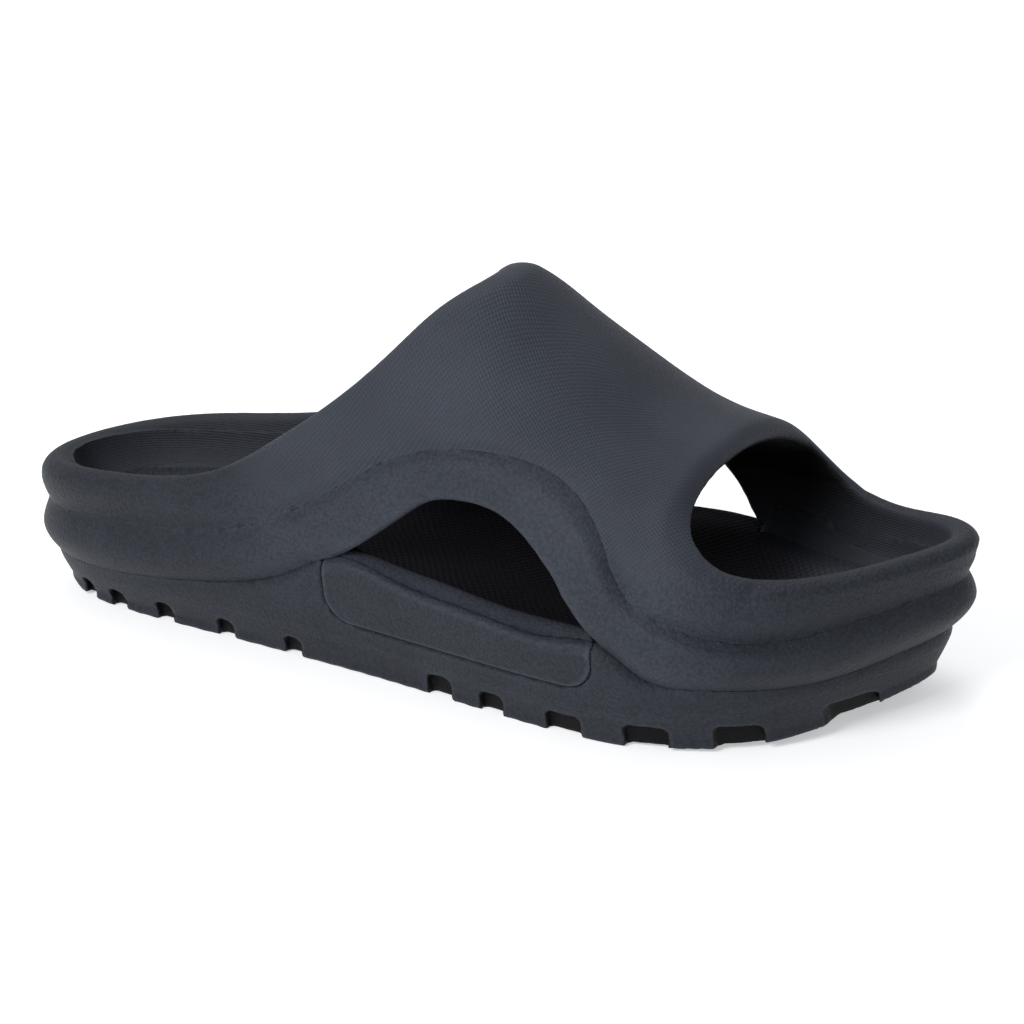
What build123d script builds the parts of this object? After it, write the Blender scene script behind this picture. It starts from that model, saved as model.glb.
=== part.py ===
from build123d import *
import os

# Right-foot moulded foam slide sandal, in millimetres.
# +X points to the toe, +Y to the medial (big toe) side, +Z up; the tread stands on z = 0
# and the origin is under the middle of the shoe's box.

# --- Driving dimensions ---------------------------------------------------------------
LENGTH = 290.0            # heel tip to toe tip
WALL = 13.0               # from the widest outline in to the foot cavity
FOOTBED_THICKNESS = 6.0
SPRING_LINE = 46.0        # height where the band's arch starts to lean inwards
CAVITY_FLOOR_IN_BAND = 40.0
CAVITY_TOP_IN_BAND = 50.0
CAVITY_TOP_IN_CUP = 62.0
BAND_REACH = (-66, 88)    # x range of the band across the foot
BAND_FOOT = 30.0          # the band's arch starts inside the wall at this height
LIP_INSET = 4.0           # how far the footbed's lip stays inside the widest outline
REACH = 160.0             # larger than the shoe in every direction, for cutting tools

HALF = LENGTH / 2

# Widest outline seen from above: (x, y), from the heel along the lateral side to the toe
# and back along the medial side.
OUTLINE = [
    (-HALF, 2), (-136.5, -17), (-116, -29.5), (-85, -35), (-48, -38.5), (-8, -45), (35, -53),
    (70, -56), (99, -49), (121, -30), (137, -4), (HALF, 20), (136, 37), (112, 48.5), (75, 57),
    (35, 55), (-15, 46), (-70, 42), (-112, 37.5), (-137, 22),
]
TOE_INDEX = 11            # the outline point at the toe tip

# Rings that shape the outer wall: (x, height, inset from the widest outline).
FLOOR_RING = [(-145, -15, 15), (145, -15, 15)]
TREAD_RING = [(-145, 3, 14), (-110, 0, 12), (-20, 0, 9), (40, 0, 8), (100, 3, 9), (145, 10, 10)]
SEAM_RING = [(-145, 7, 6), (-105, 9.5, 5), (-20, 10, 5), (63, 9.5, 4), (92, 12.5, 5), (115, 15, 5),
             (145, 19, 6)]
GROOVE_2_RING = [(-145, 13, 6), (-105, 15.5, 5), (-74, 19, 4.5), (-44, 28, 3.5), (-20, 29, 3),
                 (50, 27, 3), (74, 22, 5), (110, 20, 5.5), (145, 24, 6)]
BULGE_2_RING = [(-145, 20, 0), (-105, 24, 0), (-74, 27.5, 0), (-44, 34, 1), (0, 37, 1), (50, 35, 1),
                (80, 30, 0), (110, 28, 0), (145, 31, 0)]
GROOVE_1_RING = [(-145, 27, 3), (-105, 33.5, 3), (-73, 36.5, 2), (-44, 41, 1.5), (0, 42, 1),
                 (60, 41, 1), (79, 40, 2), (90, 36.5, 3), (104, 35, 3.5), (125, 38, 4), (145, 39.5, 4)]
BULGE_1_RING = [(-145, 34, 0), (-105, 41, 0), (-73, 44, 0), (-44, 47, 0), (0, 48, 0), (60, 46, 0),
                (90, 44, 0), (120, 45.5, 0), (145, 47, 0)]
RIM_RING = [(-145, 41, 4), (-130, 44, 4), (-105, 48, 4), (-73, 54, 3), (0, 58, 3), (60, 57, 3),
            (99, 54, 4), (145, 54, 4)]
ROOF_RING = [(-145, 62, 20), (145, 62, 20)]

# Arches of the band across the foot: (x, crown height, outer inset, inner inset).
ARCHES = [
    (-80, 131, 6, 13), (-50, 131, 3, 12), (-20, 127, 1, 11), (10, 116, 1, 10),
    (40, 97.5, 1, 10), (70, 79.5, 1, 10), (95, 69, 3, 11), (115, 62, 8, 13),
]
BAND_THICKNESS = 7.0

# Side-view lines (x, z) that part one piece from the next. Where the two sides differ, the
# surface runs straight across from the lateral line to the medial one.
GROOVE_1_LATERAL = [(-150, 26), (-128, 30), (-105, 33.5), (-73, 36.5), (-38, 50.5), (-3, 72.5),
                    (23, 77.5), (45, 72.5), (62, 56), (68, 47), (79, 40.5), (90, 36.5), (104, 35),
                    (125, 38), (150, 40)]
GROOVE_1_MEDIAL = [(-150, 26), (-128, 30), (-105, 32.5), (-73, 35.5), (-34, 50), (2, 72.5), (30, 77.5),
                   (54, 73), (72, 57), (79, 47.5), (90, 39.5), (101, 34.5), (114, 33), (130, 36),
                   (150, 40)]
GROOVE_2_LATERAL = [(-150, 13), (-105, 15.5), (-74, 19), (-44, 28), (-26, 37), (-5, 33.8), (12, 32),
                    (30, 30.3), (46, 30), (60, 31), (74, 22), (90, 20.5), (117, 20), (150, 25)]
GROOVE_2_MEDIAL = [(-150, 13), (-105, 15.5), (-74, 19), (-44, 28), (-24, 37), (-1, 34), (18, 32),
                   (36, 30.3), (54, 29.5), (71, 30), (84, 22), (98, 20), (122, 20), (150, 25)]
SEAM = [(-150, 7), (-105, 9.5), (-65, 10.5), (-27, 10), (62, 9.5), (90, 12.5), (113, 15), (150, 20)]
FOOTBED_TOP = [(-150, 28), (-110, 28), (-70, 32), (-26, 39), (-5, 37), (12, 35.5), (30, 33.7),
               (60, 33), (95, 29.5), (120, 31), (150, 36)]
HEEL_SPRING = [(-150, 4), (-128, 1), (-108, 0)]
TOE_SPRING = [(60, 0), (88, 1.3), (104, 3.5), (125, 7.8), (150, 13)]

# Upper limits of the wall and band, (x, z) on the lateral and on the medial side.
HEEL_RIM_LATERAL = [(-150, 40), (-130, 44), (-105, 47.8), (-88, 50), (-74, 54), (-54, 66), (-30, 84),
                    (-10, 102), (6, 114.5), (18, 122)]
HEEL_RIM_MEDIAL = [(-150, 40), (-130, 42.5), (-105, 44.5), (-88, 45.5), (-74, 47.5), (-54, 54),
                   (-30, 76), (-10, 99.5), (6, 114.5), (18, 122)]
TOE_RIM_LATERAL = [(84, 80), (81, 70), (83, 63.5), (88, 58), (98, 54), (112, 53), (130, 53.5),
                   (150, 54)]
TOE_RIM_MEDIAL = [(84, 80), (81, 70), (84, 61.5), (90, 54.5), (99, 49), (113, 46.5), (130, 48),
                  (150, 53)]
LIMIT_Y = 60.0            # where the lateral and medial lines are drawn

# Side openings under the arch of the band: (x, z), from the rear corner over to the front.
OPENING_LATERAL = [(-26, 37), (-11.5, 52), (-1, 59), (13, 63.5), (29, 61.8), (42.5, 51.5),
                   (50.5, 41.5), (60, 31)]
OPENING_MEDIAL = [(-24, 37), (-9, 52), (3, 59.5), (18, 64), (36, 62.5), (52, 53.5), (61.5, 43.5),
                  (71, 30)]
OPENING_SILL = 26.0       # the openings' cutting tools end here, below the panels' tops
PANEL_LATERAL = (-31.0, 59.5)
PANEL_MEDIAL = (-29.0, 70.0)
PANEL_BOTTOM, PANEL_CORNER = 16.0, 9.0

# Channels across the tread: (x of the middle, width, depth).
TREAD_CHANNELS = [
    (-124, 4, 3.5), (-111, 5, 4.5), (-94, 6, 5), (-71, 6, 5), (-47, 6, 5), (-25, 22, 4), (8, 8, 5),
    (25, 8, 5), (48, 11, 5), (73, 12, 5), (101, 10, 5.5), (120, 10, 5.5),
]
CHANNEL_CHAMFER = 1.5


def stepped(stations, x, column):
    """Straight-line reading of one column of a station table at x."""
    for near, far in zip(stations, stations[1:]):
        if x <= far[0]:
            share = (x - near[0]) / (far[0] - near[0])
            return near[column] + max(share, 0) * (far[column] - near[column])
    return stations[-1][column]


def inset_point(index, inset):
    """Outline point moved square to the outline, into the shoe."""
    x, y = OUTLINE[index]
    before = Vector(*OUTLINE[index - 1])
    after = Vector(*OUTLINE[(index + 1) % len(OUTLINE)])
    inward = (after - before).rotate(Axis.Z, 90).normalized()
    return x + inward.X * inset, y + inward.Y * inset


def ring_wire(stations):
    """Closed spline round the shoe at the heights and insets of a ring table."""
    points = []
    for index, (x, _) in enumerate(OUTLINE):
        px, py = inset_point(index, stepped(stations, x, 2))
        points.append((px, py, stepped(stations, x, 1)))
    return Wire([Edge.make_spline(points, periodic=True)])


def inset_prism(inset, low, high):
    """Upright solid of the outline taken in by a constant distance."""
    points = [inset_point(index, inset) for index in range(len(OUTLINE))]
    edge = Edge.make_spline([(x, y, low) for x, y in points], periodic=True)
    return extrude(Face(Wire([edge])), amount=high - low, dir=(0, 0, 1))


def side_solid(edges, low_y=-REACH, high_y=REACH):
    """Solid of a closed side-view outline, drawn at low_y and carried to high_y."""
    return extrude(Face(Wire(list(edges))), amount=high_y - low_y, dir=(0, 1, 0))


def side_points(stations, y=-REACH):
    """Side-view stations as points on the upright plane at y."""
    return [(x, y, z) for x, z in stations]


def broken_line(stations, y=-REACH):
    """Straight side-view edges from station to station."""
    return Wire.make_polygon(side_points(stations, y), close=False).edges()


def below(lateral, medial=None):
    """Everything under a smooth side-view line, or under the surface between two of them."""
    sides = []
    for stations, y in ((lateral, -LIMIT_Y), (medial or lateral, LIMIT_Y)):
        (first_x, first_z), (last_x, last_z) = stations[0], stations[-1]
        line = Edge.make_spline(side_points(stations, y))
        corners = [(last_x, last_z), (last_x, -REACH), (first_x, -REACH), (first_x, first_z)]
        sides.append(Wire([line, *broken_line(corners, y)]))
    return Solid.make_loft(sides, ruled=True)


def raised(stations, rise):
    """The same side-view line, moved up."""
    return [(x, z + rise) for x, z in stations]


def ground_cut():
    """Everything under the tread: level in the middle, curving up at the heel and toe."""
    heel = Edge.make_spline(side_points(HEEL_SPRING), tangents=[(1, 0, -0.1), (1, 0, 0)])
    toe = Edge.make_spline(side_points(TOE_SPRING), tangents=[(1, 0, 0), (1, 0, 0.2)])
    level = broken_line([HEEL_SPRING[-1], TOE_SPRING[0]])
    corners = [TOE_SPRING[-1], (TOE_SPRING[-1][0], -REACH), (HEEL_SPRING[0][0], -REACH),
               HEEL_SPRING[0]]
    return side_solid([heel, *level, toe, *broken_line(corners)])


def opening_limit():
    """Everything under the rims, the ankle edge and the toe mouth."""
    sides = []
    for heel_rim, toe_rim, y in ((HEEL_RIM_LATERAL, TOE_RIM_LATERAL, -LIMIT_Y),
                                 (HEEL_RIM_MEDIAL, TOE_RIM_MEDIAL, LIMIT_Y)):
        heel = Edge.make_spline(side_points(heel_rim, y))
        toe = Edge.make_spline(side_points(toe_rim, y))
        crown = [heel_rim[-1], (heel_rim[-1][0], REACH), (toe_rim[0][0], REACH), toe_rim[0]]
        base = [toe_rim[-1], (toe_rim[-1][0], -REACH), (heel_rim[0][0], -REACH), heel_rim[0]]
        sides.append(Wire([heel, *broken_line(crown, y), toe, *broken_line(base, y)]))
    return Solid.make_loft(sides, ruled=True)


def arch_face(x, crown, inset, floor):
    """Cross-section of the band at x: a half ellipse on straight legs."""
    lateral = side_reach(x, -1) + inset
    medial = side_reach(x, 1) - inset
    middle = (lateral + medial) / 2
    half_width = (medial - lateral) / 2
    plane = Plane(origin=(x, middle, SPRING_LINE), x_dir=(0, 1, 0), z_dir=(1, 0, 0))
    arc = EllipticalCenterArc((0, 0), half_width, crown - SPRING_LINE, arc_size=180)
    foot = floor - SPRING_LINE
    legs = Polyline((-half_width, 0), (-half_width, foot), (half_width, foot), (half_width, 0))
    return plane * make_face([arc.edge(), *legs.edges()])


def side_reach(x, side):
    """y of the widest outline at x, on the lateral (-1) or medial (1) side."""
    lateral_half = OUTLINE[:TOE_INDEX + 1]
    medial_half = [OUTLINE[0], *OUTLINE[:TOE_INDEX - 1:-1]]
    half = lateral_half if side < 0 else medial_half
    return stepped(half, x, 1)


def vault(thickness, column, floor):
    """Solid under the band's outer (thickness 0) or inner surface."""
    faces = [arch_face(arch[0], arch[1] - thickness, arch[column], floor) for arch in ARCHES]
    return loft(faces)


def outer_body():
    """The whole outer shape, before any opening."""
    rings = [FLOOR_RING, TREAD_RING, SEAM_RING, GROOVE_2_RING, BULGE_2_RING, GROOVE_1_RING,
             BULGE_1_RING, RIM_RING, ROOF_RING]
    wall = Solid.make_loft([ring_wire(ring) for ring in rings], ruled=True)
    band = vault(0, 2, BAND_FOOT)
    return ((wall + band) & opening_limit()) - ground_cut()


def foot_cavity():
    """The space that the foot takes: the cup, and the vault under the band."""
    cup = inset_prism(WALL, -REACH, CAVITY_TOP_IN_CUP)
    band_start, band_end = BAND_REACH
    corners = [(band_start, REACH), (band_start, CAVITY_TOP_IN_BAND), (band_end, CAVITY_TOP_IN_BAND),
               (band_end, REACH)]
    step = side_solid(Wire.make_polygon(side_points(corners)).edges())
    return (cup - step) + vault(BAND_THICKNESS, 3, CAVITY_FLOOR_IN_BAND)


def opening_tool(stations, low_y, high_y):
    """Arched opening through one side, down past the top of the side panel."""
    arch = Edge.make_spline(side_points(stations, low_y))
    corners = [stations[-1], (stations[-1][0], OPENING_SILL), (stations[0][0], OPENING_SILL),
               stations[0]]
    return side_solid([arch, *broken_line(corners, low_y)], low_y, high_y)


def panel_tool(rear, front, low_y, high_y):
    """Side panel's outline, open at the top, with rounded lower corners."""
    sides = FilletPolyline((rear, REACH), (rear, PANEL_BOTTOM), (front, PANEL_BOTTOM), (front, REACH),
                           radius=PANEL_CORNER, close=False)
    face = make_face(sides + Line((front, REACH), (rear, REACH)))
    plane = Plane(origin=(0, low_y, 0), x_dir=(1, 0, 0), z_dir=(0, -1, 0))
    return extrude((plane * face).face(), amount=high_y - low_y, dir=(0, 1, 0))


def tread_channels():
    """Channels across the whole tread, with chamfered roofs."""
    channels = []
    for x, width, depth in TREAD_CHANNELS:
        ground = stepped([*HEEL_SPRING, *TOE_SPRING], x, 1)
        roof = ground + depth
        half = width / 2
        inner = half - CHANNEL_CHAMFER
        corners = [(x - half, -REACH), (x - half, roof - CHANNEL_CHAMFER), (x - inner, roof),
                   (x + inner, roof), (x + half, roof - CHANNEL_CHAMFER), (x + half, -REACH)]
        channels.append(side_solid(Wire.make_polygon(side_points(corners)).edges()))
    return channels


def build():
    """Every piece of the shoe, by name."""
    body = outer_body()
    shell = body - foot_cavity()
    core = inset_prism(WALL, -REACH, REACH)
    under_groove_1 = below(GROOVE_1_LATERAL, GROOVE_1_MEDIAL)
    under_groove_2 = below(GROOVE_2_LATERAL, GROOVE_2_MEDIAL)
    under_seam = below(SEAM)
    under_footbed = below(raised(FOOTBED_TOP, -FOOTBED_THICKNESS))
    footbed_slab = below(FOOTBED_TOP) - under_footbed
    openings = [opening_tool(OPENING_LATERAL, -REACH, 0), opening_tool(OPENING_MEDIAL, 0, REACH)]
    lateral_tool = panel_tool(*PANEL_LATERAL, -REACH, 0)
    medial_tool = panel_tool(*PANEL_MEDIAL, 0, REACH)

    lower_wall = (shell & under_groove_2) - under_seam
    lip_slab = (inset_prism(LIP_INSET, -REACH, REACH) & below(FOOTBED_TOP)) - under_groove_2
    lips = [lip_slab & opening for opening in openings]

    return {
        "upper": shell - under_groove_1 - openings,
        "middle_wall": (shell & under_groove_1) - under_groove_2 - openings,
        "midsole": (lower_wall - [lateral_tool, medial_tool]) + ((core & under_footbed) - under_seam),
        "footbed": (core & footbed_slab) + lips,
        "lateral_side_panel": lower_wall & lateral_tool,
        "medial_side_panel": lower_wall & medial_tool,
        "outsole": (body & under_seam) - tread_channels(),
    }


def main():
    os.makedirs("parts", exist_ok=True)
    for name, piece in build().items():
        export_step(piece, f"parts/{name}.step")


if __name__ == "__main__":
    main()
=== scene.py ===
"""Right-foot moulded foam slide sandal: the visible shell of every piece over the CAD frame.

Every piece is a closed mesh drawn from its own distance field, worked out in millimetres in the
frame's axes (+X to the toe, +Y medial, +Z up) and turned into metres at the end. The control
curves start from those of the CAD model, and some differ from them by a few millimetres.
"""
import math

import bpy
import numpy as np
from mathutils import Matrix, Vector


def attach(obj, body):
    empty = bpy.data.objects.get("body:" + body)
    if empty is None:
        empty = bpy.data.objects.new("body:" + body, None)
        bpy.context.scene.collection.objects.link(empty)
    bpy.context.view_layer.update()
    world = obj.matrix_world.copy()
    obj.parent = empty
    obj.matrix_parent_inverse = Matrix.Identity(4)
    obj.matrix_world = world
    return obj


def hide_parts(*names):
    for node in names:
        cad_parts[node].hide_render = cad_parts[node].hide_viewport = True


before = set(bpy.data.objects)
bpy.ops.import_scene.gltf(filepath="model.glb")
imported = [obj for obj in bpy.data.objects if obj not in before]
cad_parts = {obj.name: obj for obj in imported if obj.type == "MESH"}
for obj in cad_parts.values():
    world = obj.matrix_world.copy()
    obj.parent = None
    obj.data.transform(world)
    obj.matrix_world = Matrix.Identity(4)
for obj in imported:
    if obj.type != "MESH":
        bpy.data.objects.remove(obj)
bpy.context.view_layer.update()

# Lengths are in millimetres, and an inset is a distance in from the plan outline.
MM = 0.001
HALF_LENGTH = 145.0
HALF_WIDTH = 60.0
WALL = 13.0
CORE_INSET = 15.0
LIP_INSET = 4.0
FOOTBED_THICKNESS = 6.0
SPRING_LINE = 46.0
GAP = 0.05

# ---------------------------------------------------------------- control curves
# Closed curve of the shoe seen from above: (x, y).
OUTLINE = [
    (-HALF_LENGTH, 2), (-136.5, -17), (-116, -29.5), (-85, -35), (-48, -38.5), (-8, -45),
    (35, -53), (70, -56), (99, -49), (121, -30), (137, -4), (HALF_LENGTH, 20), (136, 37),
    (112, 48.5), (75, 57), (35, 55), (-15, 46), (-70, 42), (-112, 37.5), (-137, 22),
]

# Curves seen from the side: (x, z). Where there are two, the lateral one comes first.
GROOVE_1 = (
    [(-170, 24), (-128, 30), (-105, 33.5), (-73, 36.5), (-38, 50.5), (-3, 72.5), (23, 77.5),
     (45, 72.5), (62, 56), (68, 47), (79, 40.5), (90, 36.5), (104, 35), (125, 38), (170, 42)],
    [(-170, 24), (-128, 30), (-105, 32.5), (-73, 35.5), (-34, 50), (2, 72.5), (30, 77.5), (54, 73),
     (72, 57), (79, 47.5), (90, 39.5), (101, 34.5), (114, 33), (130, 36), (170, 42)],
)
GROOVE_2 = (
    [(-170, 12), (-105, 15.5), (-74, 19), (-44, 28), (-26, 37), (-5, 33.8), (12, 32), (30, 30.3),
     (46, 30), (60, 31), (74, 22), (90, 20.5), (117, 20), (140, 23.2), (170, 28)],
    [(-170, 12), (-105, 15.5), (-74, 19), (-44, 28), (-24, 37), (-1, 34), (18, 32), (36, 30.3),
     (54, 29.5), (71, 30), (84, 22), (98, 20), (120, 20), (140, 23.2), (170, 28)],
)
SEAM = [(-170, 6), (-105, 9.5), (-65, 10.5), (-27, 10), (62, 9.5), (90, 12.5), (113, 15),
        (170, 22)]
FOOTBED_TOP = [(-170, 28), (-110, 28), (-70, 32), (-26, 39), (-5, 37), (12, 35.5), (30, 33.7),
               (60, 33), (95, 29.5), (120, 31), (170, 39)]
GROUND = [(-170, 7), (-150, 4), (-128, 1), (-108, 0), (-60, 0), (0, 0), (60, 0), (88, 1),
          (104, 2), (125, 5.6), (150, 12), (170, 17)]
RIM = (
    [(-170, 37), (-150, 39), (-130, 43), (-105, 47.2), (-88, 49.8), (-74, 53.7), (-54, 66.2),
     (-30, 82.7), (-10, 101.2), (0, 111.6), (10, 117.2), (24, 122)],
    [(-170, 37), (-150, 39), (-130, 41.7), (-105, 45), (-88, 46.6), (-74, 48.4), (-54, 54),
     (-30, 75), (-10, 99), (0, 110), (10, 115.8), (24, 121)],
)
TOE_RIM = (
    [(77, 84), (76.5, 71), (79, 64.5), (85, 59.5), (92, 55.5), (100, 53.5), (112, 53),
     (130, 53.5), (170, 55)],
    [(90, 84), (87, 71), (88, 63), (92.5, 55), (100, 48.8), (113, 45.7), (130, 47.2), (170, 56)],
)
OPENING = (
    [(-26, 37), (-11.5, 47.6), (-1, 56), (7, 61.3), (15, 63.2), (29, 62.2), (43.8, 52.5),
     (52.5, 42.3), (60, 31)],
    [(-24, 37), (-9, 52), (3, 59.5), (18, 64), (36, 62.5), (52, 54), (61.5, 44), (71.5, 30)],
)
ARCHES = [(-100, 131), (-50, 131), (-20, 127), (0, 120.7), (14, 116), (26, 107.5), (40, 97.3),
          (70, 80), (83, 77.3), (95, 73), (115, 66), (150, 58)]

# Side panels: (rear x, front x), lateral and medial.
PANEL_ENDS = ((-31.0, 59.5), (-29.0, 70.0))
PANEL_BOTTOM = 16.0
PANEL_CORNER = 9.0
PANEL_BACK = WALL - GAP

# Tread channels: (middle x, width, height of the notch at each side).
CHANNELS = [
    (-121.5, 4.4, 6.8), (-109.5, 5.2, 6.8), (-92, 5.4, 6.8), (-69.5, 5.4, 6.3), (-45, 5.8, 6),
    (7, 8, 7), (25, 7.5, 6.5), (49, 11, 6.5), (74, 12, 7), (98, 11.5, 7.2), (121, 9, 6.5),
]
NOTCH_REACH = 1.0
NOTCH_FADE = 1.8
SHALLOW = 0.5

# Values along the shoe: (x, value).
GROOVE_1_DEPTH = [(-150, 2.4), (-90, 2.4), (-50, 1.7), (0, 1.5), (50, 1.7), (70, 3), (100, 3.2),
                  (150, 2.5)]
GROOVE_1_ABOVE = [(-150, 9), (-80, 9), (-40, 5), (40, 5), (75, 9), (150, 9)]
GROOVE_1_BELOW = [(-150, 9), (-80, 9), (-40, 4), (50, 4), (66, 3), (105, 3.4), (130, 7), (150, 8)]
GROOVE_2_DEPTH = [(-150, 4.6), (-74, 4.6), (-44, 3.8), (-26, 2.8), (-5, 2.2), (45, 2.2), (57, 4),
                  (74, 5), (120, 5.5), (150, 7.5)]
SKIRT_INSET = [(-150, 4.2), (-90, 4.4), (-60, 2.6), (-40, 1.4), (-5, 1.4), (50, 1.2), (68, 1.6),
               (86, 4), (120, 4.8), (150, 6.3)]
TREAD_INSET = [(-150, 2.6), (-128, 4.6), (-105, 7), (-60, 7), (0, 7), (40, 6.5), (100, 4.5),
               (150, 5)]
BULGE_TOP = [(-150, 32), (-105, 39.5), (-73, 44), (0, 48), (60, 46), (90, 44), (120, 45.5),
             (150, 47)]
THINNING = [(-150, 6), (-70, 5.5), (-30, 3), (55, 3), (85, 5), (150, 5)]
BAND_SHEET = [(-60, 6), (0, 7), (60, 7), (74, 6), (88, 7), (150, 7)]
RIM_RADIUS = [(-150, 3.2), (-80, 3.6), (60, 4), (85, 4.4), (110, 3.6), (150, 3.4)]
FLOOR_FILLET = [(-150, 14), (-70, 13), (-40, 9), (150, 9)]
GROOVE_2_ABOVE = 9.0
LEDGE = 4.0
LUG_HEIGHT = 3.0


# ---------------------------------------------------------------- curves and distance maps
def spline(stations, closed=False, steps=24):
    """Points of the smooth cubic curve through the stations, by chord length."""
    knots = np.array(stations, float)
    if closed:
        knots = np.vstack([knots, knots[:1]])
    gaps = np.linalg.norm(np.diff(knots, axis=0), axis=1)
    slopes = np.diff(knots, axis=0) / gaps[:, None]
    size = len(knots)
    matrix = np.eye(size)
    bends = np.zeros_like(knots)
    for i in range(1, size - 1):
        matrix[i, i - 1:i + 2] = gaps[i - 1], 2 * (gaps[i - 1] + gaps[i]), gaps[i]
        bends[i] = 6 * (slopes[i] - slopes[i - 1])
    if closed:
        matrix[0, [0, 1, -2]] = 2 * (gaps[-1] + gaps[0]), gaps[0], gaps[-1]
        bends[0] = 6 * (slopes[0] - slopes[-1])
        matrix[-1, [0, -1]] = -1, 1
    curve = np.linalg.solve(matrix, bends)
    share = np.linspace(0, 1, steps, endpoint=False)[:, None]
    pieces = []
    for i, gap in enumerate(gaps):
        rest = 1 - share
        bend = (rest ** 3 - rest) * curve[i] + (share ** 3 - share) * curve[i + 1]
        pieces.append(rest * knots[i] + share * knots[i + 1] + gap ** 2 / 6 * bend)
    return np.vstack([*pieces, knots[-1:]])


class DistanceMap:
    """Signed distance to a closed outline in a plane, negative inside, read between grid points."""

    def __init__(self, outline, low, high, step=1.25):
        self.step = step
        first = np.arange(low[0] - 2 * step, high[0] + 2 * step, step)
        second = np.arange(low[1] - 2 * step, high[1] + 2 * step, step)
        self.origin = first[0], second[0]
        grid_a, grid_b = np.meshgrid(first, second, indexing="ij")
        nearest = np.full(grid_a.shape, np.inf)
        inside = np.zeros(grid_a.shape, bool)
        starts = np.asarray(outline, float)
        for (a0, b0), (a1, b1) in zip(starts, np.roll(starts, -1, axis=0)):
            da, db = a1 - a0, b1 - b0
            length = da * da + db * db
            if length == 0:
                continue
            share = np.clip(((grid_a - a0) * da + (grid_b - b0) * db) / length, 0, 1)
            gap = (grid_a - a0 - share * da) ** 2 + (grid_b - b0 - share * db) ** 2
            np.minimum(nearest, gap, out=nearest)
            if b0 != b1:
                crosses = (b0 > grid_b) != (b1 > grid_b)
                inside ^= crosses & (grid_a < a0 + (grid_b - b0) * da / db)
        self.values = np.where(inside, -1, 1) * np.sqrt(nearest)

    def __call__(self, a, b):
        a, b = np.broadcast_arrays((a - self.origin[0]) / self.step, (b - self.origin[1]) / self.step)
        rows, columns = self.values.shape
        row = np.clip(np.floor(a).astype(int), 1, rows - 3)
        column = np.clip(np.floor(b).astype(int), 1, columns - 3)
        total = 0
        weights_b = self.weights(np.clip(b - column, 0, 1))
        for i, weight_a in enumerate(self.weights(np.clip(a - row, 0, 1))):
            line = sum(weight * self.values[row + i - 1, column + j - 1]
                       for j, weight in enumerate(weights_b))
            total = total + weight_a * line
        return total

    @staticmethod
    def weights(t):
        """Weights of four neighbours for a smooth reading at share t of the middle gap."""
        return ((-t + 2 * t ** 2 - t ** 3) / 2, (2 - 5 * t ** 2 + 3 * t ** 3) / 2,
                (t + 4 * t ** 2 - 3 * t ** 3) / 2, (t ** 3 - t ** 2) / 2)


PLAN_BOX = (-160, -75), (160, 75)
SIDE_BOX = (-160, -15), (160, 135)
FAR_BELOW = -200.0
FAR_ABOVE = 260.0
SILL_DEPTH = 12


def plan_map(stations):
    return DistanceMap(spline(stations, closed=True), *PLAN_BOX)


def under_map(stations):
    """Map of the region under a side-view line."""
    line = spline(stations)
    corners = [(line[-1, 0], FAR_BELOW), (line[0, 0], FAR_BELOW)]
    return DistanceMap(np.vstack([line, corners]), *SIDE_BOX)


def limit_map(heel, toe):
    """Map of the region under the rims and the band's two edges."""
    heel_line, toe_line = spline(heel), spline(toe)
    crown = [(heel_line[-1, 0], FAR_ABOVE), (toe_line[0, 0], FAR_ABOVE)]
    corners = [(toe_line[-1, 0], FAR_BELOW), (heel_line[0, 0], FAR_BELOW)]
    return DistanceMap(np.vstack([heel_line, crown, toe_line, corners]), *SIDE_BOX)


def opening_map(stations):
    """Map of a side opening, from its arch down to a sill below the footbed's edge."""
    line = spline(stations)
    sill = [(line[-1, 0], line[-1, 1] - SILL_DEPTH), (line[0, 0], line[0, 1] - SILL_DEPTH)]
    return DistanceMap(np.vstack([line, sill]), *SIDE_BOX)


plan = plan_map(OUTLINE)
outline_curve = spline(OUTLINE, closed=True)
groove_1_maps = [under_map(line) for line in GROOVE_1]
groove_2_maps = [under_map(line) for line in GROOVE_2]
limit_maps = [limit_map(heel, toe) for heel, toe in zip(RIM, TOE_RIM)]
opening_maps = [opening_map(line) for line in OPENING]
seam_map = under_map(SEAM)
footbed_map = under_map(FOOTBED_TOP)
ground_map = under_map(GROUND)


def table(stations):
    """Smooth value along the shoe, as a function of x."""
    curve = spline(stations)
    return lambda x: np.interp(x, curve[:, 0], curve[:, 1])


def straight(stations):
    """Straight-line value along the shoe, as a function of x."""
    places, values = zip(*stations)
    return lambda x: np.interp(x, places, values)


groove_1_depth = straight(GROOVE_1_DEPTH)
groove_1_above = straight(GROOVE_1_ABOVE)
groove_1_below = straight(GROOVE_1_BELOW)
groove_2_depth = straight(GROOVE_2_DEPTH)
skirt_inset = straight(SKIRT_INSET)
tread_inset = straight(TREAD_INSET)
thinning = straight(THINNING)
band_sheet = straight(BAND_SHEET)
rim_radius = straight(RIM_RADIUS)
floor_fillet = straight(FLOOR_FILLET)
bulge_top = table(BULGE_TOP)
crown = table(ARCHES)
ground_height = table(GROUND)
groove_2_height = [table(line) for line in GROOVE_2]

toe_index = int(np.argmax(outline_curve[:, 0]))
lateral_curve = outline_curve[:toe_index + 1]
medial_curve = outline_curve[toe_index:][::-1]


def side_y(x, curve):
    return np.interp(x, curve[:, 0], curve[:, 1])


# ---------------------------------------------------------------- combining distances
def round_and(a, b, radius):
    """Both regions, with the edge between them rounded."""
    deep = np.minimum(np.maximum(a, b), -radius)
    return deep + np.hypot(np.maximum(a + radius, 0), np.maximum(b + radius, 0))


def round_or(a, b, radius):
    """Either region, with the crease between them filled."""
    return -round_and(-a, -b, radius)


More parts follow.
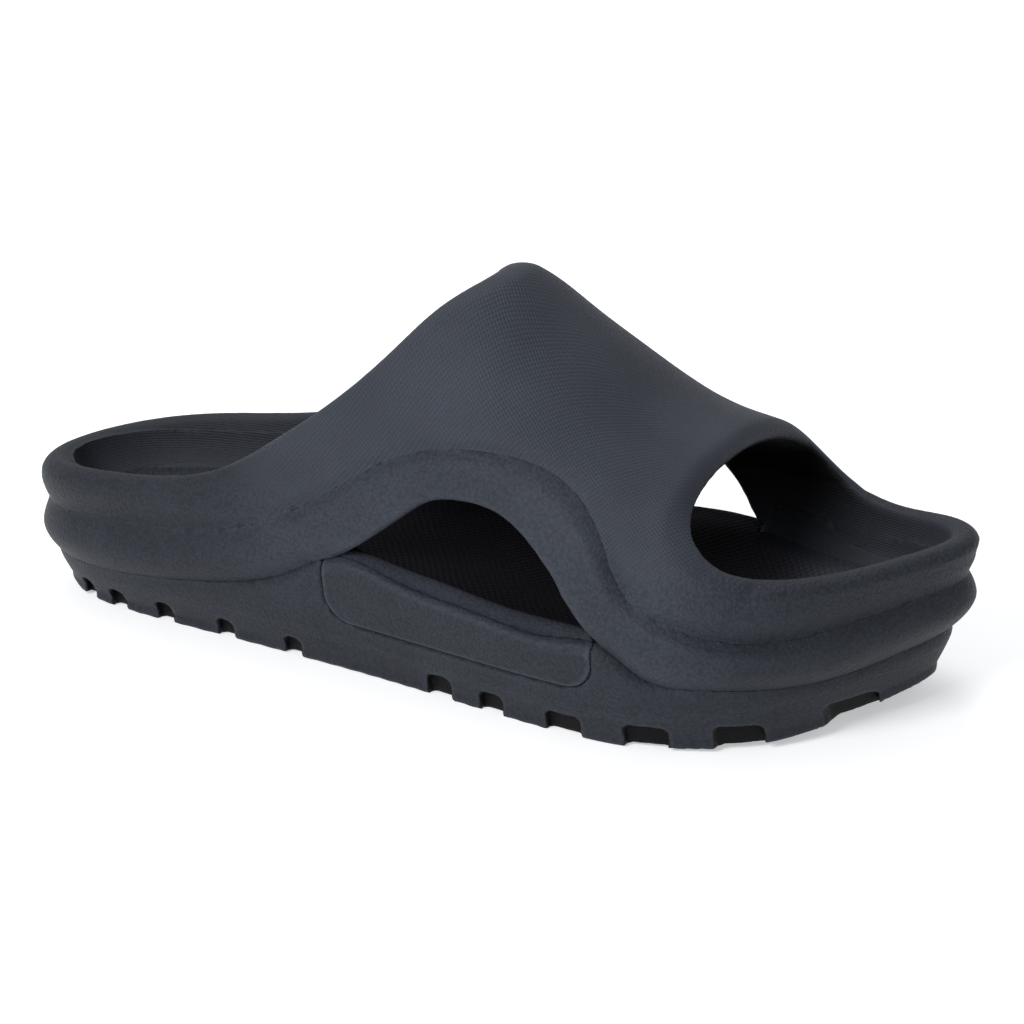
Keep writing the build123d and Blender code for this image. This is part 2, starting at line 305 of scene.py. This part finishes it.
def smooth_step(value, low, high):
    share = np.clip((value - low) / (high - low), 0, 1)
    return share * share * (3 - 2 * share)


def across(maps, x, y, z):
    """Value that runs straight from the lateral map to the medial one."""
    share = np.clip((y + HALF_WIDTH) / (2 * HALF_WIDTH), 0, 1)
    return (1 - share) * maps[0](x, z) + share * maps[1](x, z)


def each_side(maps, x, y, z):
    """Lateral map on the lateral side, medial map on the medial side."""
    return np.where(y < 0, maps[0](x, z), maps[1](x, z))


# ---------------------------------------------------------------- the shoe's surfaces
VAULT_LOWER_RISE = 26.0
VAULT_REAR = (84, 106)
VAULT_FRONT = (98, 118)
VAULT_RETREAT = 40
WALL_TOP = 48
OUTER_CLAMP = -8
CAVITY_TOP = 50
CAVITY_CLAMP = -6
CREASE = 1.5


def swell(distance, reach):
    """1 at a groove's bottom, falling in a round shoulder to 0 at its reach."""
    return np.maximum(0, 1 - np.maximum(distance, 0) / reach) ** 2


def groove(distance, above, below):
    """1 along a groove's line, falling to 0 at a reach above and one below."""
    soft = np.sqrt(distance ** 2 + 0.6) - 0.77
    return swell(soft, np.where(distance > 0, above, below))


def ends(x, rear, front):
    """0 along the band, rising to 1 past its rear and its front end."""
    return smooth_step(-x, *rear) + smooth_step(x, *front)


def arch(x, y, z, thickness, inset):
    """Distance to the band's vault: an ellipse over the spring line, a shallower one below."""
    lateral = side_y(x, lateral_curve) + inset
    medial = side_y(x, medial_curve) - inset
    middle = (lateral + medial) / 2
    half_width = np.maximum((medial - lateral) / 2, 5)
    rise = np.where(z > SPRING_LINE, crown(x) - thickness - SPRING_LINE, VAULT_LOWER_RISE)
    a, b = (y - middle) / half_width, (z - SPRING_LINE) / rise
    size = np.hypot(a, b)
    slope = np.hypot(a / half_width, b / rise) / np.maximum(size, 1e-6)
    vault = (size - 1) / np.maximum(slope, 1e-3)
    return vault + VAULT_RETREAT * ends(x, VAULT_REAR, VAULT_FRONT)


def outer(x, y, z):
    """The whole outside, with its grooves, before any opening."""
    ground = ground_height(x)
    second = across(groove_2_maps, x, y, z)
    first = across(groove_1_maps, x, y, z)
    skirt, depth = skirt_inset(x), groove_2_depth(x)
    under = skirt + (depth - skirt) * swell(-second, LEDGE)
    over = depth * swell(second, GROOVE_2_ABOVE)
    top = np.where(y < 0, groove_2_height[0](x), groove_2_height[1](x))
    height = np.clip((z - ground - LUG_HEIGHT) / np.maximum(top - ground - LUG_HEIGHT, 3), 0, 1)
    foot = tread_inset(x) * (1 - height) ** 1.3
    lean = 2.0 * (np.maximum(z - bulge_top(x), 0) / 8) ** 2
    wall = plan(x, y) + lean
    skin = round_or(round_and(wall, z - WALL_TOP, 5), arch(x, y, z, 0, 0.8), CREASE)
    open_end = ends(x, (44, 92), (82, 110)) * smooth_step(z, WALL_TOP - 6, WALL_TOP)
    skin = (1 - open_end) * skin + open_end * np.maximum(wall, OUTER_CLAMP)
    soft = smooth_step(second, -0.5, 0.5)
    cut = groove_1_depth(x) * groove(first, groove_1_above(x), groove_1_below(x))
    return skin + foot + soft * over + (1 - soft) * under + cut


def lip_share(x, y):
    """1 where a side opening leaves the footbed's edge bare."""
    lateral = smooth_step(x, -33, -27) * (1 - smooth_step(x, 57, 63))
    medial = smooth_step(x, -31, -25) * (1 - smooth_step(x, 69, 75))
    return np.where(y < 0, lateral, medial)


def floor_height(x, y, z):
    """Distance above the footbed's top: dished, with its edge curled up to the wall."""
    edge = plan(x, y)
    dish = 2.5 * smooth_step(-edge, WALL, WALL + 20)
    fillet = floor_fillet(x)
    from_wall = np.clip(-edge - WALL + 0.5 * thinning(x), 0, fillet)
    curl = fillet - np.sqrt(fillet ** 2 - (fillet - from_wall) ** 2)
    return footbed_map(x, z) + dish - curl * (1 - lip_share(x, y))


def cavity(x, y, z):
    """The space for the foot: the cup, and the vault under the band."""
    wall = plan(x, y) + WALL - thinning(x) * smooth_step(z, 26, CAVITY_TOP)
    vault = arch(x, y, z, band_sheet(x), WALL - thinning(x))
    hollow = round_or(np.maximum(wall, z - CAVITY_TOP), vault, CREASE)
    open_end = ends(x, (50, 90), (76, 106))
    hollow = (1 - open_end) * hollow + open_end * np.maximum(wall, CAVITY_CLAMP)
    return np.maximum(hollow, -floor_height(x, y, z))


def shell(x, y, z):
    """Walls, rims and band, open for the foot and at both sides."""
    body = round_and(outer(x, y, z), across(limit_maps, x, y, z), rim_radius(x))
    body = round_and(body, -cavity(x, y, z), 2.2)
    core = np.maximum(plan(x, y) + CORE_INSET, floor_height(x, y, z) - SILL_DEPTH)
    body = np.maximum(body, -core)
    return round_and(body, -each_side(opening_maps, x, y, z), 2.6)


def panel_zone(x, y, z):
    """Side-view distance to the side panels' outlines, open at the top."""
    rear = np.where(y < 0, PANEL_ENDS[0][0], PANEL_ENDS[1][0])
    front = np.where(y < 0, PANEL_ENDS[0][1], PANEL_ENDS[1][1])
    half = (front - rear) / 2
    return round_and(np.abs(x - rear - half) - half, PANEL_BOTTOM - z, PANEL_CORNER)


def channels(x, y, z):
    """Distance to the channels across the tread: notches at its sides, shallow lines between."""
    reach = skirt_inset(x) + tread_inset(x) + NOTCH_REACH
    inward = smooth_step(-plan(x, y) - reach, 0, NOTCH_FADE)
    nearest = np.inf
    for middle, width, height in CHANNELS:
        top = ground_height(middle) + height + (SHALLOW - height) * inward
        radius = min(2.0, 0.45 * width)
        nearest = np.minimum(nearest, round_and(np.abs(x - middle) - width / 2, z - top, radius))
    return nearest


# Each piece's field: negative inside the piece, positive outside.
def upper_field(x, y, z):
    return np.maximum(shell(x, y, z), -across(groove_1_maps, x, y, z))


def middle_wall_field(x, y, z):
    ring = np.maximum(shell(x, y, z), across(groove_1_maps, x, y, z))
    return np.maximum(ring, -across(groove_2_maps, x, y, z))


def midsole_field(x, y, z):
    """Foam below groove 2 outside and below the footbed inside, with pockets for the panels."""
    wall = np.maximum(outer(x, y, z), across(groove_2_maps, x, y, z))
    wall = np.maximum(wall, -(plan(x, y) + CORE_INSET))
    core = np.maximum(plan(x, y) + CORE_INSET - 0.3, footbed_map(x, z + FOOTBED_THICKNESS))
    body = np.maximum(np.minimum(wall, core), -seam_map(x, z))
    pocket = np.maximum(panel_zone(x, y, z) - 2 * GAP, -(plan(x, y) + WALL))
    return round_and(body, -pocket, 1.3)


def panel_field(x, y, z):
    body = round_and(outer(x, y, z), across(groove_2_maps, x, y, z), 1.8)
    body = np.maximum(body, -(plan(x, y) + PANEL_BACK))
    return round_and(body, panel_zone(x, y, z) + GAP, 1.1)


BEAD_HEIGHT = 0.5
BEAD_INSET = LIP_INSET + 2.5
BEAD_HALF_WIDTH = 4


def footbed_field(x, y, z):
    """Core under the foot, and a lip over each side panel in the side openings."""
    edge = plan(x, y)
    core = np.maximum(edge + CORE_INSET, -footbed_map(x, z + FOOTBED_THICKNESS))
    bead = BEAD_HEIGHT * swell(np.abs(edge + BEAD_INSET), BEAD_HALF_WIDTH) * lip_share(x, y)
    top = floor_height(x, y, z) - bead
    core = np.maximum(core, top)
    lip = round_and(top, edge + LIP_INSET, 2.2)
    lip = round_and(lip, -across(groove_2_maps, x, y, z) + 2 * GAP, 0.3)
    lip = np.maximum(lip, each_side(opening_maps, x, y, z) + GAP)
    return np.minimum(core, np.maximum(lip, -(edge + CORE_INSET + 1)))


def outsole_field(x, y, z):
    body = np.maximum(outer(x, y, z), seam_map(x, z))
    body = round_and(body, -ground_map(x, z), 1.5)
    return round_and(body, -channels(x, y, z), 0.9)


# ---------------------------------------------------------------- from a field to a mesh
# NUDGE is the step for a slope, and HOLD keeps a point near the middle of its crossings.
NUDGE = 0.04
HOLD = 0.03
SHARP_ANGLE = math.radians(48)


def slope_of(field, points):
    """Unit direction in which the field grows at each point."""
    grown = [field(*(points + NUDGE * unit).T) - field(*(points - NUDGE * unit).T)
             for unit in np.eye(3)]
    slope = np.stack(grown, axis=1)
    return slope / np.maximum(np.linalg.norm(slope, axis=1, keepdims=True), 1e-9)


def crossings(field, values, axes, axis, step):
    """Grid edges along one axis that pass through the surface, and where they do."""
    near = [slice(None)] * 3
    near[axis] = slice(0, -1)
    far = [slice(None)] * 3
    far[axis] = slice(1, None)
    a, b = values[tuple(near)], values[tuple(far)]
    cut = (a < 0) != (b < 0)
    places = np.argwhere(cut)
    start = np.stack([axes[i][places[:, i]] for i in range(3)], axis=1)
    low, high = np.zeros(len(start)), np.ones(len(start))
    value_low, value_high = a[cut], b[cut]
    leaving = value_low < 0
    for _ in range(3):
        share = low + (high - low) * np.clip(value_low / (value_low - value_high), 0.02, 0.98)
        points = start + np.outer(share, np.eye(3)[axis]) * step
        value = field(*points.T)
        same = (value < 0) == leaving
        low, value_low = np.where(same, share, low), np.where(same, value, value_low)
        high, value_high = np.where(same, high, share), np.where(same, value_high, value)
    share = low + (high - low) * value_low / (value_low - value_high)
    return places, start + np.outer(share, np.eye(3)[axis]) * step, leaving


def cells_round(places, axis, shape):
    """The four grid cells that share each crossed edge, in order round it."""
    others = [(axis + 1) % 3, (axis + 2) % 3]
    ring = []
    for first, second in ((0, 0), (-1, 0), (-1, -1), (0, -1)):
        cell = places.copy()
        cell[:, others[0]] += first
        cell[:, others[1]] += second
        ring.append(np.ravel_multi_index(tuple(cell.T), shape))
    return np.stack(ring, axis=1)


def settle(index, hit, slope, step):
    """One point for each cell, where the planes through its crossings meet or nearly meet."""
    def gather(weights):
        return np.bincount(index, weights)

    count = gather(np.ones(len(index)))
    middle = np.stack([gather(hit[:, i]) / count for i in range(3)], axis=1)
    reach = (slope * (hit - middle[index])).sum(axis=1)
    pull = np.stack([gather(slope[:, i] * reach) for i in range(3)], axis=1)
    matrix = np.empty((len(count), 3, 3))
    for i in range(3):
        for j in range(3):
            matrix[:, i, j] = gather(slope[:, i] * slope[:, j]) + (i == j) * HOLD * count
    offset = np.linalg.solve(matrix, pull[:, :, None])[:, :, 0]
    size = np.linalg.norm(offset, axis=1, keepdims=True)
    return middle + offset * np.minimum(1, 0.9 * step / np.maximum(size, 1e-9))


def contour(field, low, high, step):
    """Closed quad mesh of the field's zero surface inside a box, with its crisp edges kept."""
    axes = [np.arange(low[i] - 2 * step, high[i] + 3 * step, step) for i in range(3)]
    x, y, z = axes[0][:, None, None], axes[1][None, :, None], axes[2][None, None, :]
    shape = tuple(len(axis) for axis in axes)
    values = np.ascontiguousarray(np.broadcast_to(field(x, y, z), shape))
    parts = []
    for axis in range(3):
        places, points, leaving = crossings(field, values, axes, axis, step)
        parts.append((cells_round(places, axis, shape), points, slope_of(field, points), leaving))
    rings, hits, slopes, leaves = (np.concatenate(part) for part in zip(*parts))
    index = np.unique(rings.ravel(), return_inverse=True)[1].reshape(-1)
    points = settle(index, np.repeat(hits, 4, axis=0), np.repeat(slopes, 4, axis=0), step)
    faces = index.reshape(-1, 4)
    faces[~leaves] = faces[~leaves][:, ::-1]
    return points, faces


def mark(mesh, points, name, value):
    """Stores a value for each point, for the material to read."""
    values = np.broadcast_to(value(*points.T), len(points)).astype(np.float32)
    mesh.attributes.new(name, "FLOAT", "POINT").data.foreach_set("value", values)


def make_piece(name, node, slot, field, finish, low, high, step):
    """One closed piece that stands for a CAD node."""
    points, faces = contour(field, low, high, step)
    mesh = bpy.data.meshes.new(name)
    mesh.from_pydata((points * MM).tolist(), [], faces.tolist())
    mesh.update()
    mesh.polygons.foreach_set("use_smooth", [True] * len(mesh.polygons))
    mesh.set_sharp_from_angle(angle=SHARP_ANGLE)
    material, inside, grained, painted_shade_share = FINISHES[finish]
    mesh.materials.append(material)
    mark(mesh, points, "inside", inside)
    mark(mesh, points, "grained", grained)
    mark(mesh, points, "painted_shade_share", painted_shade_share)
    mark(mesh, points, "bowl", height_in_bowl)
    piece = bpy.data.objects.new(name, mesh)
    bpy.context.collection.objects.link(piece)
    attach(piece, "root")
    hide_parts(node)


# ---------------------------------------------------------------- where each finish goes
def inner_walls_and_painted_shade(x, y, z):
    """1 on the walls and the vault that face the foot, up to 2 where hardly any light gets in; there
    the colour takes painted shade.
    """
    near = 1 - smooth_step(cavity(x, y, z), 0.4, 1.8)
    under = smooth_step(x, -75, -40) * (1 - smooth_step(x, 80, 145))
    return near * (1 + under * smooth_step(z, 22, 50))


def footbed_lip(x, y, z):
    """1 on the footbed's bare edge in the side openings."""
    return lip_share(x, y) * smooth_step(plan(x, y), -LIP_INSET - 3.2, -LIP_INSET - 1.8)


def footbed_shade(x, y, z):
    """0 at both open ends of the footbed and on its lip, 1 under the band."""
    return smooth_step(x, -95, -50) * (1 - smooth_step(x, 55, 100)) * (1 - footbed_lip(x, y, z))


def footbed_edge(x, y, z):
    """1 where the footbed's lozenges have given way to plain grain."""
    rim = (1 - lip_share(x, y)) * smooth_step(plan(x, y), -CORE_INSET - 7, -CORE_INSET)
    return np.maximum(rim, footbed_lip(x, y, z))


def painted_shade_in_channels(x, y, z):
    """2, the darkest, on the faces of the tread channels: painted shade."""
    return 2 - 2 * smooth_step(channels(x, y, z), 0.25, 0.9)


def painted_shade_at_ends(x, y, z):
    """0 along the band, 1 round the heel and the toe, where the foam colour takes painted shade."""
    return np.clip(smooth_step(-x, 20, 80) + smooth_step(x, 75, 112), 0, 1)


def away_from_band(x, y, z):
    """1 where the band's twill has given way to leather grain."""
    low = 1 - smooth_step(z, 48, 62)
    return np.clip(smooth_step(-x, 50, 90) + smooth_step(x, 90, 112) + low, 0, 1)


def everywhere(x, y, z):
    return np.ones_like(x)


def half_painted_shade(x, y, z):
    """Partly the painted shade along the band, all of it at the heel and the toe."""
    return 0.35 + 0.65 * painted_shade_at_ends(x, y, z)


def height_in_bowl(x, y, z):
    """Grows evenly from the footbed up the inner wall, in millimetres."""
    return z + plan(x, y)


# ---------------------------------------------------------------- materials
class Surface:
    """Short calls for building one material's node tree; its coordinates are in millimetres."""

    def __init__(self, name, roughness, specular, sheen):
        self.material = bpy.data.materials.new(name)
        self.material.use_nodes = True
        self.tree = self.material.node_tree
        self.shader = self.tree.nodes["Principled BSDF"]
        self.shader.inputs["Specular IOR Level"].default_value = specular
        self.shader.inputs["Sheen Weight"].default_value = sheen
        self.shader.inputs["Sheen Roughness"].default_value = 0.4
        place = self.add("ShaderNodeTexCoord").outputs["Object"]
        self.place = self.scaled(place, 1000)
        self.x, self.y, self.z = self.add("ShaderNodeSeparateXYZ", {}, {0: self.place}).outputs
        self.soft = self.noise(0.035, 3)
        self.fine = self.noise(1.9, 2)
        varied = self.remap(self.fine, 0.3, 0.7, roughness - 0.07, roughness + 0.07)
        self.feed(self.shader.inputs["Roughness"], varied)

    def add(self, kind, settings=None, inputs=None):
        node = self.tree.nodes.new(kind)
        for key, value in (settings or {}).items():
            setattr(node, key, value)
        for key, value in (inputs or {}).items():
            self.feed(node.inputs[key], value)
        return node

    def feed(self, socket, value):
        if isinstance(value, bpy.types.NodeSocket):
            self.tree.links.new(value, socket)
        else:
            socket.default_value = value

    def math(self, operation, a, b=0.0):
        return self.add("ShaderNodeMath", {"operation": operation}, {0: a, 1: b}).outputs[0]

    def scaled(self, vector, factor):
        inputs = {0: vector, "Scale": factor}
        return self.add("ShaderNodeVectorMath", {"operation": "SCALE"}, inputs).outputs[0]

    def remap(self, value, low, high, to_low, to_high):
        """Carries the range from low to high over to the range from to_low to to_high."""
        inputs = {"Value": value, "From Min": low, "From Max": high,
                  "To Min": to_low, "To Max": to_high}
        return self.add("ShaderNodeMapRange", {}, inputs).outputs[0]

    def noise(self, scale, detail):
        inputs = {"Vector": self.place, "Scale": scale, "Detail": detail}
        return self.add("ShaderNodeTexNoise", {}, inputs).outputs[0]

    def stored(self, name):
        return self.add("ShaderNodeAttribute", {"attribute_name": name}).outputs["Fac"]

    def blend(self, share, a, b):
        """a where the share is 0, b where it is 1."""
        return self.math("ADD", a, self.math("MULTIPLY", share, self.math("SUBTRACT", b, a)))

    def blend_colour(self, share, a, b):
        mix = self.add("ShaderNodeMix", {"data_type": "RGBA"}, {"Factor": share})
        self.feed(mix.inputs[6], a)
        self.feed(mix.inputs[7], b)
        return mix.outputs[2]

    def wave(self, phase):
        """Smooth ridges from 0 to 1, one for each whole step of the phase."""
        turned = self.math("SINE", self.math("MULTIPLY", phase, 2 * math.pi))
        return self.math("MULTIPLY", self.math("ADD", turned, 1.0), 0.5)

    def mixed(self, *parts):
        """Sum of (factor, value) pairs."""
        total = 0.0
        for factor, value in parts:
            total = self.math("ADD", self.math("MULTIPLY", value, factor), total)
        return total

    def finish(self, colour, height, depth, edge_lightening):
        """Base colour and bump: painted light on high spots and painted shade in the pores, and
        lighter on convex edges.
        """
        edges = self.add("ShaderNodeNewGeometry").outputs["Pointiness"]
        lighter_edges = self.remap(edges, 0.505, 0.545, 0, edge_lightening)
        # The colour follows the bump's height: painted light and shade on the grain.
        shade = self.math("ADD", self.remap(height, 0, 1, 0.65, 1.3), lighter_edges)
        shade = self.math("MULTIPLY", shade, self.remap(self.soft, 0.35, 0.65, 0.9, 1.1))
        self.feed(self.shader.inputs["Base Color"], self.scaled(colour, shade))
        inputs = {"Strength": 1.0, "Distance": depth * MM, "Height": height}
        bump = self.add("ShaderNodeBump", {}, inputs)
        self.feed(self.shader.inputs["Normal"], bump.outputs[0])
        return self.material


# Base colours. The band colour, the wall foam colour and INNER are copies of one charcoal foam, lit
# and shaded to suit where they sit: painted light and painted shade. DEEP_SHADE is painted shadow
# deep inside and in the tread channels, and FOOTBED_SHADE is painted shadow on the footbed under the
# band.
LIT_CHARCOAL = (0.0345, 0.0395, 0.051, 1)
SHADED_CHARCOAL = (0.021, 0.024, 0.031, 1)
INNER = (0.025, 0.028, 0.036, 1)
DEEP_SHADE = (0.0015, 0.0015, 0.002, 1)
FOOTBED = (0.046, 0.047, 0.057, 1)
FOOTBED_SHADE = (0.0046, 0.0046, 0.0064, 1)
# Pebble sizes, and how much twill there is to a radian round the band.
PEBBLE = 0.95
FOOTBED_PEBBLE = 0.85
TWILL_RADIUS = 58.0


def leather(surface, size):
    """Fine irregular pebbles, about size millimetres across, with pores between."""
    noise = surface.add("ShaderNodeTexNoise", {}, {"Vector": surface.place, "Scale": 0.9})
    bend = surface.scaled(noise.outputs["Color"], 1.2)
    moved = surface.add("ShaderNodeVectorMath", {"operation": "ADD"}, {0: surface.place, 1: bend})
    inputs = {"Vector": moved.outputs[0], "Scale": 1 / size, "Smoothness": 0.6}
    cells = surface.add("ShaderNodeTexVoronoi", {"feature": "SMOOTH_F1"}, inputs)
    pebbles = surface.remap(cells.outputs["Distance"], 0.1, 0.75, 1, 0)
    return surface.mixed((0.65, pebbles), (0.35, surface.fine))


def twill(surface):
    """Diagonal ribs broken into short stitches, wrapped round the band."""
    rise = surface.math("SUBTRACT", surface.z, SPRING_LINE - 10)
    up = surface.math("MULTIPLY", surface.math("ARCTAN2", rise, surface.y), -TWILL_RADIUS)
    drift = surface.math("MULTIPLY", surface.soft, 3.0)
    ribs = surface.wave(surface.mixed((0.80, surface.x), (0.86, up), (1.0, drift)))
    stitches = surface.wave(surface.mixed((0.62, surface.x), (-0.58, up), (1.0, drift)))
    return surface.mixed((0.3, ribs), (0.25, stitches), (0.45, surface.noise(2.2, 2)))


def wall_ribs(surface):
    """Fine level ribs on the inner walls."""
    ribs = surface.wave(surface.mixed((1.1, surface.stored("bowl")), (1.5, surface.soft)))
    return surface.mixed((0.3, ribs), (0.7, surface.fine))


def scales(surface):
    """Small raised lozenges in staggered rows."""
    drift = surface.math("MULTIPLY", surface.soft, 2.0)
    one = surface.wave(surface.mixed((0.46, surface.x), (0.3, surface.y), (1.0, drift)))
    two = surface.wave(surface.mixed((0.46, surface.x), (-0.3, surface.y), (1.0, drift)))
    return surface.mixed((0.42, one), (0.42, two), (0.16, surface.fine))


def shell_foam(name, pattern, depth, edge_lightening):
    """Charcoal foam in lit and shaded copies (painted light and shade), with ribbed inner walls that
    darken towards the middle of the shoe in painted shade.
    """
    surface = Surface(name, roughness=0.56, specular=0.12, sheen=0.02)
    inside, grained = surface.stored("inside"), surface.stored("grained")
    lined = surface.math("MINIMUM", inside, 1.0)
    # Deeper inside, the inner colour goes over to DEEP_SHADE: painted shadow.
    deep = surface.math("MAXIMUM", surface.math("SUBTRACT", inside, 1.0), 0.0)
    # The band colour fades into the wall foam colour by the stored share: painted shade.
    outside = surface.blend_colour(surface.stored("painted_shade_share"), LIT_CHARCOAL, SHADED_CHARCOAL)
    colour = surface.blend_colour(lined, outside, surface.blend_colour(deep, INNER, DEEP_SHADE))
    height = surface.blend(lined, pattern(surface, grained), wall_ribs(surface))
    return surface.finish(colour, height, depth, edge_lightening)


def band_pattern(surface, grained):
    return surface.blend(grained, twill(surface), leather(surface, PEBBLE))


def wall_pattern(surface, grained):
    return leather(surface, PEBBLE)


def footbed_foam():
    """Foam with raised lozenges, and a plain grained edge."""
    surface = Surface("lozenge_footbed_foam", roughness=0.7, specular=0.03, sheen=0.0)
    edge = surface.stored("grained")
    bed = surface.blend_colour(edge, FOOTBED, INNER)
    height = surface.blend(edge, scales(surface), leather(surface, FOOTBED_PEBBLE))
    colour = surface.blend_colour(surface.stored("inside"), bed, FOOTBED_SHADE)
    return surface.finish(colour, height, depth=0.35, edge_lightening=0.0)


wall_foam = shell_foam("pebbled_foam", wall_pattern, depth=0.2, edge_lightening=0.15)
band_foam = shell_foam("band_twill_foam", band_pattern, depth=0.3, edge_lightening=0.1)
panel_foam = shell_foam("panel_foam", wall_pattern, depth=0.3, edge_lightening=1.2)
tread_foam = shell_foam("tread_foam", wall_pattern, depth=0.16, edge_lightening=0.15)
lozenge_foam = footbed_foam()
# Finish: its material, then where it turns inner and takes painted shade, to plain grain, and to the
# shaded copy of the foam, which is painted shade.
FINISHES = {
    "band": (band_foam, inner_walls_and_painted_shade, away_from_band, painted_shade_at_ends),
    "ring": (wall_foam, inner_walls_and_painted_shade, everywhere, half_painted_shade),
    "wall": (wall_foam, inner_walls_and_painted_shade, everywhere, everywhere),
    "panel": (panel_foam, inner_walls_and_painted_shade, everywhere, everywhere),
    "tread": (tread_foam, painted_shade_in_channels, everywhere, everywhere),
    "footbed": (lozenge_foam, footbed_shade, footbed_edge, everywhere),
}

# ---------------------------------------------------------------- the pieces
# Mesh cell sizes.
STEP = 1.2
FOOTBED_STEP = 0.95
PANEL_STEP = 0.7
# Piece, CAD node, material slot, field, finish, the box's lowest and highest corner, cell size.
PIECES = [
    ("upper_shell", "upper", "upper_foam", upper_field, "band",
     (-148, -62, 20), (148, 62, 120), STEP),
    ("middle_wall_shell", "middle_wall", "wall_foam", middle_wall_field, "ring",
     (-148, -62, 8), (148, 62, 82), STEP),
    ("midsole_shell", "midsole", "midsole_foam", midsole_field, "wall",
     (-148, -62, 0), (148, 62, 42), STEP),
    ("footbed_insole", "footbed", "footbed_foam", footbed_field, "footbed",
     (-140, -60, 14), (140, 60, 46), FOOTBED_STEP),
    ("lateral_panel", "lateral_side_panel", "panel_foam", panel_field, "panel",
     (-36, -62, 10), (66, 0, 42), PANEL_STEP),
    ("medial_panel", "medial_side_panel", "panel_foam", panel_field, "panel",
     (-36, 0, 10), (76, 62, 42), PANEL_STEP),
    ("outsole_tread", "outsole", "outsole_rubber", outsole_field, "tread",
     (-148, -62, -4), (148, 62, 26), STEP),
]
for piece in PIECES:
    make_piece(*piece)


# ---------------------------------------------------------------- floor, light and camera
def add_floor():
    """Pale floor that glows a little, in metres like everything below."""
    size = 3.0
    mesh = bpy.data.meshes.new("floor")
    corners = [(-size, -size, 0), (size, -size, 0), (size, size, 0), (-size, size, 0)]
    mesh.from_pydata(corners, [], [(0, 1, 2, 3)])
    material = bpy.data.materials.new("pale_floor")
    material.use_nodes = True
    shader = material.node_tree.nodes["Principled BSDF"]
    shader.inputs["Base Color"].default_value = (0.8, 0.8, 0.81, 1)
    shader.inputs["Roughness"].default_value = 0.8
    shader.inputs["Specular IOR Level"].default_value = 0.1
    shader.inputs["Emission Color"].default_value = (0.97, 0.985, 1, 1)
    shader.inputs["Emission Strength"].default_value = 0.45
    mesh.materials.append(material)
    floor = bpy.data.objects.new("floor", mesh)
    bpy.context.collection.objects.link(floor)


def add_area_light(name, place, size, watts):
    """Round soft light that points at the origin."""
    light = bpy.data.lights.new(name, "AREA")
    light.shape = "DISK"
    light.size = size
    light.energy = watts
    lamp = bpy.data.objects.new(name, light)
    lamp.location = place
    lamp.rotation_euler = (-Vector(place)).to_track_quat("-Z", "Y").to_euler()
    bpy.context.collection.objects.link(lamp)


CAMERA_TURN = math.radians(24.9)
CAMERA_RISE = math.radians(20.9)
CAMERA_TARGET = (36.9, -55.3, 66.8)
CAMERA_DISTANCE = 1012.2
CAMERA_LENS = 131.3


def add_camera():
    """Camera at the photograph's viewing angle, aimed at a point near the lateral side."""
    turn, rise = CAMERA_TURN, CAMERA_RISE
    target, distance = Vector(CAMERA_TARGET) * MM, CAMERA_DISTANCE * MM
    back = Vector((math.sin(turn) * math.cos(rise), -math.cos(turn) * math.cos(rise),
                   math.sin(rise)))
    right = Vector((math.cos(turn), math.sin(turn), 0))
    up = back.cross(right)
    view = bpy.data.cameras.new("camera")
    view.sensor_width = 36
    view.lens = CAMERA_LENS
    camera = bpy.data.objects.new("camera", view)
    axes = Matrix((right, up, back)).transposed().to_4x4()
    camera.matrix_world = Matrix.Translation(target + back * distance) @ axes
    bpy.context.collection.objects.link(camera)
    bpy.context.scene.camera = camera


def add_world():
    world = bpy.data.worlds.new("studio")
    world.use_nodes = True
    background = world.node_tree.nodes["Background"]
    background.inputs["Color"].default_value = (0.95, 0.97, 1.0, 1)
    background.inputs["Strength"].default_value = 0.42
    bpy.context.scene.world = world


add_floor()
add_area_light("key", (-0.35, -1.5, 1.1), size=0.8, watts=27)
add_area_light("top", (-0.5, 0.6, 1.6), size=1.2, watts=13)
add_camera()
add_world()
bpy.context.scene.view_settings.view_transform = "Standard"
